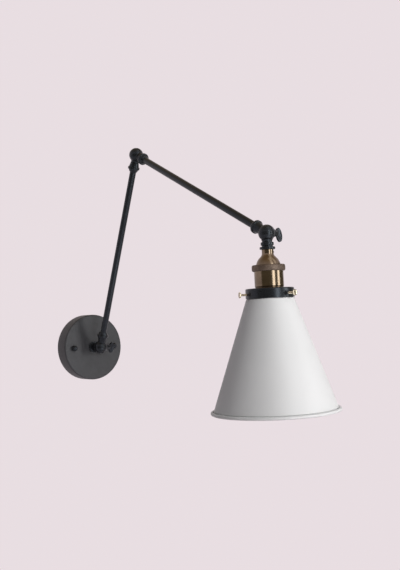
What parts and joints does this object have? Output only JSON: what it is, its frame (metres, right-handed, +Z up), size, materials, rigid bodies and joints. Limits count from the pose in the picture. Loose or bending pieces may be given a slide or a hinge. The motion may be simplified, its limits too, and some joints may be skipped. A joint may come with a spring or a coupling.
{
  "type": "articulated wall lamp",
  "caption": "Wall lamp on a round plate with two jointed tube arms, wing-screw knuckles, a brass lamp socket and a conical metal shade held by thumb screws.",
  "frame": {"origin": "middle of the wall plate's back, on the wall", "axes": "+Z up, +Y into the wall, the lamp stands out along -Y, +X to the right seen from the room"},
  "size_m": [0.1675, 0.5578, 0.3961],
  "materials": {
    "black_paint": "satin black",
    "white_enamel": "gloss white",
    "aged_brass": "polished, aged",
    "bronze": "dark bronze, satin",
    "bright_brass": "bright",
    "zinc_steel": "zinc plated",
    "green_steel": "green dyed zinc",
    "white_ceramic": "unglazed",
    "friction_fibre": "matt",
    "block_plastic": "matt",
    "wire_insulation": "matt"
  },
  "bodies": {
    "wall_base": {"wall_plate": "black_paint", "wall_bracket": "zinc_steel", "canopy_screws": "black_paint", "earth_screw": "green_steel", "terminal_block": "block_plastic", "terminal_block_screw": "zinc_steel", "terminal_screws": "bright_brass", "base_nipple": "zinc_steel", "base_nipple_washer": "zinc_steel", "base_nipple_nut": "zinc_steel", "base_wires": "wire_insulation", "base_knuckle": "black_paint"},
    "base_wing": {"base_wing_screw": "black_paint"},
    "lower_arm": {"lower_arm_base_knuckle": "black_paint", "base_friction_washer": "friction_fibre", "lower_arm_tube": "black_paint", "lower_arm_wires": "wire_insulation", "lower_arm_elbow_knuckle": "black_paint", "elbow_screw": "black_paint"},
    "upper_arm": {"upper_arm_elbow_knuckle": "black_paint", "elbow_friction_washer": "friction_fibre", "upper_arm_tube": "black_paint", "upper_arm_wires": "wire_insulation", "upper_arm_head_knuckle": "black_paint"},
    "head_wing": {"head_wing_screw": "black_paint"},
    "head": {"head_knuckle": "black_paint", "head_friction_washer": "friction_fibre", "head_lock_ring": "black_paint", "socket_cap": "aged_brass", "cap_set_screw": "bronze", "socket_ring": "bronze", "socket_shell": "aged_brass", "socket_core": "white_ceramic", "socket_screw_shell": "bright_brass", "socket_centre_contact": "bright_brass", "socket_terminal_screws": "bright_brass", "socket_wires": "wire_insulation", "shade_holder": "black_paint", "holder_ring_nut": "bright_brass", "lamp_shade": "white_enamel"},
    "thumb_1": {"thumb_screw_1": "bright_brass"},
    "thumb_2": {"thumb_screw_2": "bright_brass"},
    "thumb_3": {"thumb_screw_3": "bright_brass"}
  },
  "joints": [
    {"name": "base_tilt", "type": "hinge", "parent": "wall_base", "child": "lower_arm", "pos_m": [0, -0.0485, 0], "axis": [1, 0, 0], "range_deg": [-24, 66]},
    {"name": "elbow_fold", "type": "hinge", "parent": "lower_arm", "child": "upper_arm", "pos_m": [0, -0.18272, 0.30147], "axis": [1, 0, 0], "range_deg": [-94, 10]},
    {"name": "head_tilt", "type": "hinge", "parent": "upper_arm", "child": "head", "pos_m": [0, -0.4741, 0.14654], "axis": [1, 0, 0], "range_deg": [-90, 40]},
    {"name": "base_wing_turn", "type": "hinge", "parent": "wall_base", "child": "base_wing", "pos_m": [0, -0.0485, 0], "axis": [1, 0, 0], "range_deg": [-45, 270]},
    {"name": "head_wing_turn", "type": "hinge", "parent": "upper_arm", "child": "head_wing", "pos_m": [0, -0.4741, 0.14654], "axis": [1, 0, 0], "range_deg": [-45, 270]},
    {"name": "thumb_1_turn", "type": "hinge", "parent": "head", "child": "thumb_1", "pos_m": [0, -0.4741, 0.06774], "axis": [-0.9239, 0.3827, 0], "range_deg": [-45, 270]},
    {"name": "thumb_2_turn", "type": "hinge", "parent": "head", "child": "thumb_2", "pos_m": [0, -0.4741, 0.06774], "axis": [0.1305, -0.9914, 0], "range_deg": [-45, 270]},
    {"name": "thumb_3_turn", "type": "hinge", "parent": "head", "child": "thumb_3", "pos_m": [0, -0.4741, 0.06774], "axis": [0.7934, 0.6088, 0], "range_deg": [-45, 270]}
  ]
}
